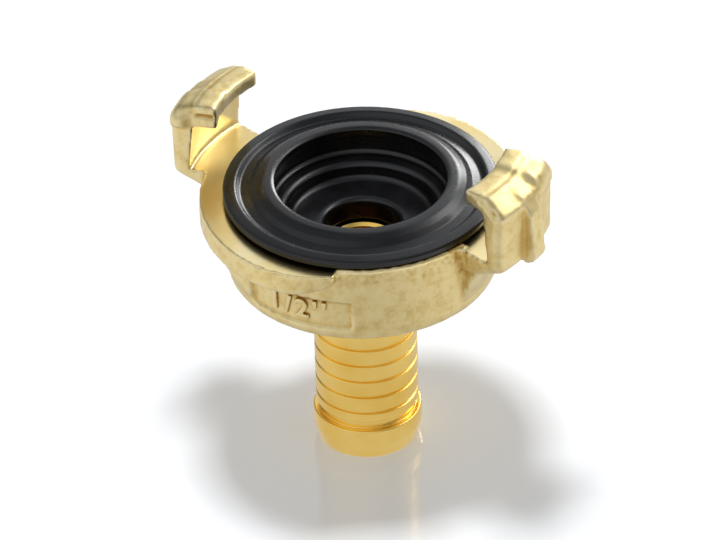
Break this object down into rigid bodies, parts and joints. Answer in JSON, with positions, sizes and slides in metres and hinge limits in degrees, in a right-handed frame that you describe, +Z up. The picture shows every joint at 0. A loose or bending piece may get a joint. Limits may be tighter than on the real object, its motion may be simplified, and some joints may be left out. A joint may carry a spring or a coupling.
{
  "type": "claw hose coupling half",
  "caption": "Brass claw coupling half with hooked claws, inclined flanges, a rubber face seal and a swivelling grooved hose tail.",
  "frame": {"origin": "centre of the hose tail's foot, on the axis, which is the middle of the bottom of the part's box", "axes": "+Z up the axis from the hose tail to the sealing face; the two claws are centred near +X and -X"},
  "size_m": [0.056, 0.0432, 0.0497],
  "materials": {
    "forged_brass": "forged and blasted, pale satin",
    "seal_rubber": "moulded, matt black with a faint sheen",
    "turned_brass": "turned, bright satin"
  },
  "bodies": {
    "head": {"claw_body": "forged_brass", "face_seal": "seal_rubber"},
    "tail": {"hose_tail": "turned_brass"}
  },
  "joints": [
    {"name": "tail_swivel", "type": "hinge", "parent": "head", "child": "tail", "pos_m": [0, 0, 0.022], "axis": [0, 0, 1], "continuous": true}
  ]
}
